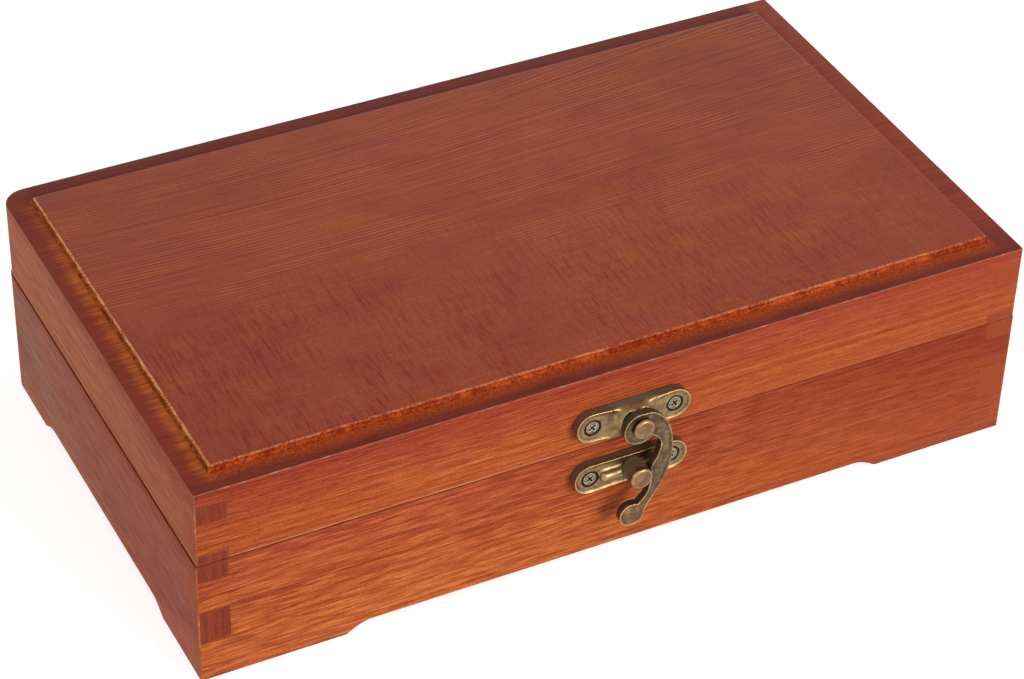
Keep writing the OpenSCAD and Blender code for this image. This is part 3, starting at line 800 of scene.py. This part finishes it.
def open_on_rim(*sides):
    """Opens the panel with the points of the field's rim selected on the sides given."""
    clear_selection(lid_panel)
    for point in lid_panel.data.vertices:
        x, y, z = point.co
        off = {
            "left": x - field_left,
            "right": x - field_right,
            "front": y - field_front,
            "back": y - field_back,
        }
        on_side = any(abs(off[side]) < near_edge for side in sides)
        point.select = on_side and z > field_top - near_top
    bpy.ops.object.mode_set(mode="EDIT")
    bpy.ops.mesh.select_mode(type="VERT")


open_on_rim("left", "right", "front", "back")
bpy.ops.transform.translate(value=(0, 0, -rim_drop))
close_mesh()
for side, reach, seed in (("left", 0.00034, 4), ("front", 0.0002, 9)):
    open_on_rim(side)
    bpy.ops.transform.vertex_random(offset=reach, seed=seed)
    close_mesh()
for point in lid_panel.data.vertices:
    point.co.z = min(point.co.z, field_top)
bevel_edges(lid_panel, outer_arris, arris_width, 3, slot_of["arris"])


def panel_arris(start, end):
    """Whether an edge lies along the border's outer edge, at its top."""
    middle = (start + end) / 2
    level = abs(start.z - border_top) < on_plane and abs(end.z - border_top) < on_plane
    return level and max(abs(middle.x), abs(middle.y)) > field_back + 0.0001


panel_arris_width = 0.00022
bevel_edges(lid_panel, panel_arris, panel_arris_width, 2, slot_of["arris"])
clear_selection(lid_panel)
bpy.ops.object.shade_smooth_by_angle(angle=smooth_angle)
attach(lid_panel, "lid")

# ----------------------------------------------------------------------- hinges
# Two butt hinges of antiqued brass on the back, each with two leaves folded
# round a pin and small countersunk screws.


def antique_brass(name, face, bright, roughness=0.38):
    """Brass with a mottled brown film, shinier where it is brighter."""
    material = bpy.data.materials.new(name)
    material.use_nodes = True
    tree = material.node_tree
    shader = tree.nodes["Principled BSDF"]
    shader.inputs["Metallic"].default_value = 1.0
    where = add_node(tree, "ShaderNodeTexCoord").outputs["Object"]
    mottle = noise(tree, where, (420, 420, 420), 4.0, 0.65)
    fine = noise(tree, where, (3000, 3000, 3000), 2.0, 0.6)
    tone = add_up(tree, 0.5, (mottle, 1.4), (fine, 0.4))
    dull = levels(tree, tone, 0.2, 0.8, roughness + 0.1, roughness - 0.06)
    tree.links.new(ramp(tree, tone, (0.2, face), (0.8, bright)), shader.inputs["Base Color"])
    tree.links.new(dull, shader.inputs["Roughness"])
    bumped(tree, shader, tone, 0.00002)
    return material


film_brass = antique_brass("antique_brass", (0.17, 0.12, 0.05), (0.29, 0.21, 0.095))
edge_brass = antique_brass("rubbed_brass", (0.42, 0.31, 0.15), (0.68, 0.53, 0.29), 0.3)
screw_steel = antique_brass("brassed_screw", (0.2, 0.16, 0.09), (0.34, 0.28, 0.17), 0.34)


def fitting(node, name, body, metal, eased):
    """A small metal piece whose edges are eased and rubbed bright."""
    piece = worked_copy(node, name)
    piece.data.materials.append(metal)
    piece.data.materials.append(edge_brass)
    open_mesh(piece)
    bpy.ops.mesh.edges_select_sharp(sharpness=math.radians(45))
    bpy.ops.mesh.bevel(offset=eased, segments=2, affect="EDGES", clamp_overlap=True, material=1)
    close_mesh()
    bpy.ops.object.shade_smooth_by_angle(angle=smooth_angle)
    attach(piece, body)


leaf_ease, screw_ease = 0.00012, 0.00006
for side in ("left", "right"):
    for body, row in (("base", "lower"), ("lid", "upper")):
        node, name = f"hinge_{side}_{body}_leaf", f"hinge_{side}_{row}_leaf"
        fitting(node, name, body, film_brass, leaf_ease)
    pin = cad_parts[f"hinge_{side}_pin"]
    pin.data.materials.clear()
    pin.data.materials.append(film_brass)
for body, row in (("base", "lower"), ("lid", "upper")):
    node, name = f"hinge_{body}_screws", f"hinge_{row}_screws"
    fitting(node, name, body, screw_steel, screw_ease)

# ------------------------------------------------------------ clasp's lid plate
# A waisted plate of die-cast brass with a boss for the hook, tumbled and
# blackened, then rubbed bright again on its rims, and screwed on the lid.
upper_z, lower_z, pivot_z = 0.0488, 0.0309, 0.0484
clasp_x, screw_half_gap, lobe_radius = 0.0005, 0.0125, 0.0047
plate_face, boss_face = front_y - 0.003, front_y - 0.0045


def dished(piece, face_y, raised_rim, depth, mouth, holes):
    """Sinks a flat front face inside its rim, with the mouths of its holes."""
    clear_selection(piece)
    for face in piece.data.polygons:
        face.select = face.normal.y < -0.99 and abs(face.center.y - face_y) < on_plane
    bpy.ops.object.mode_set(mode="EDIT")
    bpy.ops.mesh.select_mode(type="FACE")
    bpy.ops.mesh.inset(thickness=raised_rim)
    bpy.ops.mesh.select_mode(type="VERT")
    close_mesh()
    for point in piece.data.vertices:
        if abs(point.co.y - face_y) > on_plane:
            continue
        for x, z in holes:
            if math.hypot(point.co.x - x, point.co.z - z) < mouth:
                point.select = True
    bpy.ops.object.mode_set(mode="EDIT")
    bpy.ops.transform.translate(value=(0, depth, 0))
    close_mesh()


def smoothed(piece, rounds, group=""):
    """Evens out the skin of a piece, or of one group of its points."""
    bpy.ops.object.modifier_add(type="SMOOTH")
    piece.modifiers[0].factor = 0.5
    piece.modifiers[0].iterations = rounds
    piece.modifiers[0].vertex_group = group
    bpy.ops.object.modifier_apply(modifier=piece.modifiers[0].name)


shoulder_rounds = 110


def tumbled(piece, grain, rounds, shoulder=None):
    """Gives the piece a fine even skin, softens its edges and marks its hollows and rims."""
    clear_selection(piece)
    bpy.ops.object.modifier_add(type="REMESH")
    piece.modifiers[0].mode = "VOXEL"
    piece.modifiers[0].voxel_size = grain
    bpy.ops.object.modifier_apply(modifier=piece.modifiers[0].name)
    smoothed(piece, rounds)
    if shoulder:
        soft = piece.vertex_groups.new(name="shoulder")
        soft.add([v.index for v in piece.data.vertices if shoulder(v.co)], 1.0, "REPLACE")
        smoothed(piece, shoulder_rounds, "shoulder")
    bpy.ops.object.shade_smooth()
    bend = 9  # degrees off flat at which a point counts as a full hollow or rim
    bpy.ops.paint.vertex_color_dirt(
        blur_iterations=1,
        dirt_angle=math.radians(90 - bend),
        clean_angle=math.radians(90 + bend),
        normalize=False,
    )


def blackened_brass(name, face, bright, hollow, wall=None, wall_from=0.0, wall_to=1.0):
    """Brass whose hollows stay black, whose rims are rubbed bright, and whose side walls, from
    given depths behind the face, take a given duller colour.
    """
    material = bpy.data.materials.new(name)
    material.use_nodes = True
    tree = material.node_tree
    shader = tree.nodes["Principled BSDF"]
    shader.inputs["Metallic"].default_value = 1.0
    where = add_node(tree, "ShaderNodeTexCoord").outputs["Object"]
    x, y, z = axes(tree, where)
    rise = add_node(tree, "ShaderNodeVertexColor", layer_name="Color").outputs["Color"]
    mottle = noise(tree, where, (500, 500, 500), 4.0, 0.65)
    fine = noise(tree, where, (2600, 2600, 2600), 2.0, 0.6)
    tone = add_up(tree, rise, (mottle, 0.6), (fine, 0.2))
    # Painted shade: a black ring round each of the four screws, where the gap round their heads
    # lies in shadow.
    across = maths(tree, "ABSOLUTE", maths(tree, "SUBTRACT", x, clasp_x))
    upright = maths(tree, "ABSOLUTE", maths(tree, "SUBTRACT", z, (upper_z + lower_z) / 2))
    off_screw = add_node(
        tree,
        "ShaderNodeVectorMath",
        {
            0: add_node(tree, "ShaderNodeCombineXYZ", {"X": across, "Y": upright}).outputs[0],
            1: (screw_half_gap, (upper_z - lower_z) / 2, 0.0),
        },
        operation="DISTANCE",
    ).outputs["Value"]
    seat = product(
        tree, levels(tree, off_screw, 0.0018, 0.0021), levels(tree, off_screw, 0.0027, 0.0024)
    )
    ring_shaded_tone = maths(tree, "MULTIPLY_ADD", seat, -0.6, tone)
    colour = ramp(tree, ring_shaded_tone, (0.22, hollow), (0.48, face), (0.85, bright))
    # The thumb keeps the hook's lower end, the lowest thing here, a little brighter.
    thumbed = levels(tree, z, 0.0235, 0.0210)
    colour = mix(tree, thumbed, colour, (1.35, 1.25, 1.05), "MULTIPLY")
    if wall:
        colour = mix(tree, levels(tree, y, wall_from, wall_to), colour, wall)
        metallic = levels(tree, y, wall_from, wall_to, 1.0, 0.3)
        tree.links.new(metallic, shader.inputs["Metallic"])
    tree.links.new(colour, shader.inputs["Base Color"])
    tree.links.new(levels(tree, tone, 0.3, 0.8, 0.48, 0.26), shader.inputs["Roughness"])
    bumped(tree, shader, tone, 0.00003)
    return material


plate_brass = blackened_brass(
    "blackened_brass",
    face=(0.24, 0.158, 0.075),
    bright=(0.55, 0.4, 0.19),
    hollow=(0.02, 0.014, 0.009),
    wall=(0.135, 0.108, 0.062),
    wall_from=plate_face + 0.0006,
    wall_to=plate_face + 0.0014,
)


def place_fitting(piece, metal, body):
    """Gives a finished clasp piece its metal and the body that it moves with."""
    piece.data.materials.clear()
    piece.data.materials.append(metal)
    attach(piece, body)


upper_holes, lower_holes = (
    [(clasp_x + side * screw_half_gap, z) for side in (-1, 1)] for z in (upper_z, lower_z)
)
lid_plate = worked_copy("clasp_upper_plate", "clasp_lid_plate")
# The boss behind the hook is a low cone, narrower at its face.
boss_radius, boss_taper = 0.0055, 0.82
for point in lid_plate.data.vertices:
    x, y, z = point.co
    if abs(y - boss_face) < on_plane and math.hypot(x - clasp_x, z - pivot_z) > boss_radius:
        point.co.x = clasp_x + (x - clasp_x) * boss_taper
        point.co.z = pivot_z + (z - pivot_z) * boss_taper
# One wall runs along the plate's top and the boss: straight at the wood, waisted in front.
waist_depth = 0.0011
for point in lid_plate.data.vertices:
    x, y, z = point.co
    across = (x - clasp_x) / screw_half_gap
    waist = waist_depth * (1 + math.cos(math.pi * across)) / 2
    if abs(across) < 1 and z > upper_z + lobe_radius - waist - 0.0001:
        to_face = min(1.0, max(0.0, (front_y - y) / (front_y - plate_face)))
        point.co.z = upper_z + lobe_radius - waist * to_face
plate_rim, hole_mouth = 0.0009, 0.0028
dished(lid_plate, plate_face, plate_rim, depth=0.0004, mouth=hole_mouth, holes=upper_holes)
shoulder_from, shoulder_to, off_wood = 0.0047, 0.0082, 0.0006


def boss_shoulder(place):
    """Whether a point lies where the cast boss flows into the plate."""
    around = math.hypot(place.x - clasp_x, place.z - pivot_z)
    return shoulder_from < around < shoulder_to and place.y < front_y - off_wood


tumbled(lid_plate, grain=0.00016, rounds=9, shoulder=boss_shoulder)
place_fitting(lid_plate, plate_brass, "lid")

# ----------------------------------------------------------- clasp's base plate
# A plate of the same casting with a lobe at each screw, which carries the post
# and is screwed on the base's front.
base_plate = worked_copy("clasp_lower_plate", "clasp_base_plate")
dished(base_plate, plate_face, plate_rim, depth=0.0005, mouth=hole_mouth, holes=lower_holes)
tumbled(base_plate, grain=0.00016, rounds=9)
place_fitting(base_plate, plate_brass, "base")

# ----------------------------------------------------------------- clasp's hook
# A curved hook of the same brass, darker than the plates. It turns on the rivet
# and closes behind the post.
hook_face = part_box("clasp_hook")[0].y
hook_brass = blackened_brass(
    "hook_brass",
    face=(0.115, 0.071, 0.039),
    bright=(0.46, 0.33, 0.165),
    hollow=(0.02, 0.014, 0.009),
    wall=(0.06, 0.047, 0.028),
    wall_from=hook_face + 0.0006,
    wall_to=hook_face + 0.0013,
)
swing_hook = worked_copy("clasp_hook", "clasp_swing_hook")
hook_rim, eye = 0.0008, (clasp_x, pivot_z)
dished(swing_hook, hook_face, hook_rim, depth=0.00025, mouth=0.0025, holes=[eye])
tumbled(swing_hook, grain=0.00014, rounds=11)
place_fitting(swing_hook, hook_brass, "hook")

# ------------------------------------------------------- clasp's rivet and post
# Two turned studs, browner than the castings: the rivet that the hook turns on,
# set in the lid plate's boss, and the post that it catches, set in the base's.
post_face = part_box("clasp_catch_post")[0].y
stud_bronze = blackened_brass(
    "stud_bronze",
    face=(0.19, 0.112, 0.053),
    bright=(0.54, 0.36, 0.175),
    hollow=(0.03, 0.02, 0.01),
    wall=(0.17, 0.13, 0.065),
    wall_from=post_face + 0.0012,
    wall_to=post_face + 0.0022,
)
rivet = worked_copy("clasp_rivet", "clasp_pivot_rivet")
tumbled(rivet, grain=0.00011, rounds=4)
place_fitting(rivet, stud_bronze, "lid")
post = worked_copy("clasp_catch_post", "clasp_post")
tumbled(post, grain=0.00013, rounds=5)
place_fitting(post, stud_bronze, "base")

# --------------------------------------------------------------- clasp's screws
# Two small plated screws hold each plate. Their heads are a little smaller than
# their seats and lie below the plate's face.
screw_plating = blackened_brass(
    "clasp_screw_plating",
    face=(0.16, 0.13, 0.08),
    bright=(0.75, 0.66, 0.46),
    hollow=(0.012, 0.01, 0.008),
)
head_share, head_sink = 0.9, 0.0002
for row, body, holes in (("upper", "lid", upper_holes), ("lower", "base", lower_holes)):
    screws = worked_copy(f"clasp_{row}_screws", f"clasp_{body}_screws")
    for point in screws.data.vertices:
        x, z = min(holes, key=lambda hole: abs(hole[0] - point.co.x))
        point.co.x = x + (point.co.x - x) * head_share
        point.co.z = z + (point.co.z - z) * head_share
        point.co.y += head_sink
    tumbled(screws, grain=0.0001, rounds=2)
    place_fitting(screws, screw_plating, body)
